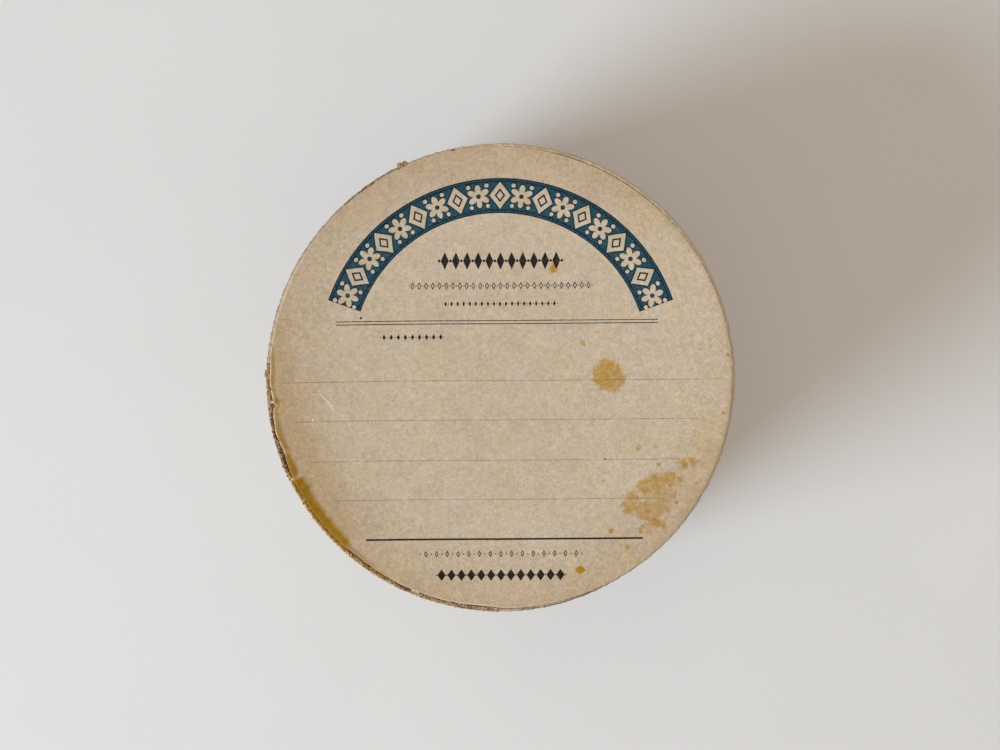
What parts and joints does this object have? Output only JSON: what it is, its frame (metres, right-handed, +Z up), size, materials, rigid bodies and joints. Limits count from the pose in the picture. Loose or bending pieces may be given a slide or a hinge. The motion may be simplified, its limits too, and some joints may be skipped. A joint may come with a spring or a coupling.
{
  "type": "round medicine box",
  "caption": "Round cardboard medicine box, paper covered, with a printed round label and a lid that lifts straight off a raised inner neck.",
  "frame": {"origin": "centre of the underside, on the surface that the box stands on", "axes": "+Z up along the box's axis, towards the lid's label; +X to the right and +Y to the top of the printed label as it is read"},
  "size_m": [0.09, 0.09, 0.0381],
  "materials": {
    "strawboard": "matte",
    "cover_paper": "matte",
    "white_paper": "matte",
    "base_paper": "matte",
    "printed_label": "matte"
  },
  "bodies": {
    "box": {"base_paper": "base_paper", "base_wrap": "cover_paper", "base_wall": "strawboard", "base_disc": "strawboard", "base_lining": "white_paper", "neck": "strawboard", "neck_cover": "white_paper"},
    "lid": {"lid_wall": "strawboard", "lid_disc": "strawboard", "lid_wrap": "cover_paper", "lid_lining": "white_paper", "lid_label": "printed_label"}
  },
  "joints": [
    {"name": "lid_lift", "type": "slide", "parent": "box", "child": "lid", "axis": [0, 0, 1], "range_m": [0, 0.04]}
  ]
}
